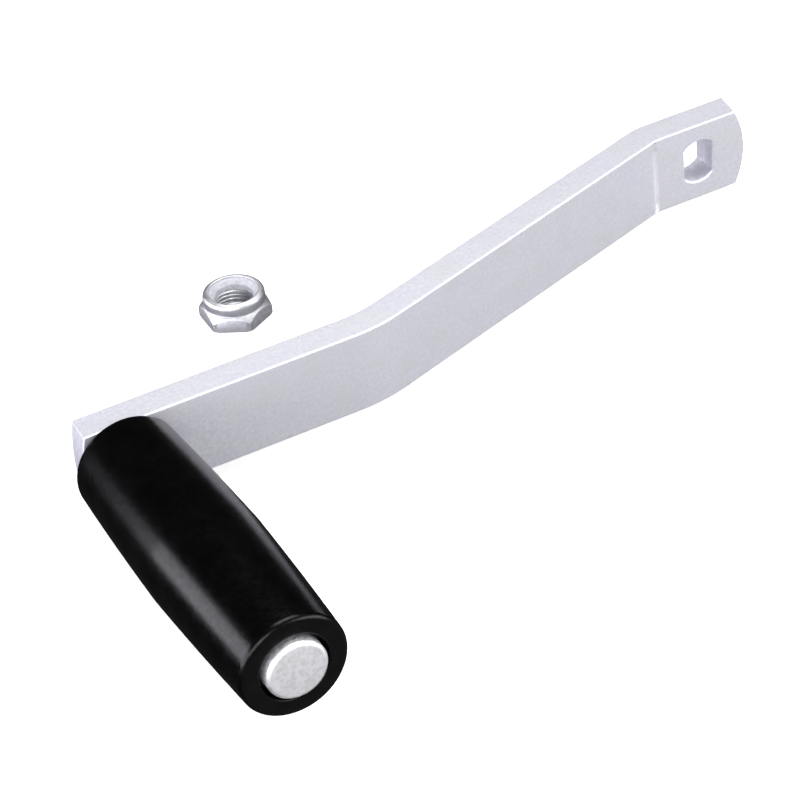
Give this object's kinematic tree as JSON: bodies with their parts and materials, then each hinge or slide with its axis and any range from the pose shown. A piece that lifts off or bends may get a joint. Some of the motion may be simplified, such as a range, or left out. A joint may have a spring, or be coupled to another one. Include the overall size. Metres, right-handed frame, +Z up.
{
  "type": "winch handle",
  "caption": "Boat-winch crank handle: a joggled flat-bar arm with a double-D drive hole, a black grip that spins on a riveted spindle, and a loose lock nut.",
  "frame": {"origin": "centre of the double-D drive hole, on the hub's face that bears on the winch", "axes": "+X along the arm from the grip end to the hub end, +Y along the hub's axis towards the winch, so the grip points to -Y, +Z up across the bar's width"},
  "size_m": [0.2411, 0.1813, 0.0338],
  "materials": {
    "arm_zinc": "clear zinc plate over hot-rolled flat bar, satin and faintly mottled",
    "grip_plastic": "moulded black plastic, fine satin grain",
    "spindle_zinc": "clear zinc plate, satin",
    "nut_zinc": "bright clear zinc plate",
    "nylon": "translucent off-white nylon"
  },
  "bodies": {
    "arm": {"arm": "arm_zinc", "grip_spindle": "spindle_zinc"},
    "grip": {"grip": "grip_plastic"},
    "lock_nut": {"lock_nut": "nut_zinc", "nylon_insert": "nylon"}
  },
  "joints": [
    {"name": "grip_spin", "type": "hinge", "parent": "arm", "child": "grip", "pos_m": [-0.2067, -0.0965, 0], "axis": [0, 1, 0], "continuous": true},
    {"name": "nut_lift", "type": "slide", "parent": "arm", "child": "lock_nut", "axis": [0, 0, 1], "range_m": [0, 0.08]}
  ]
}
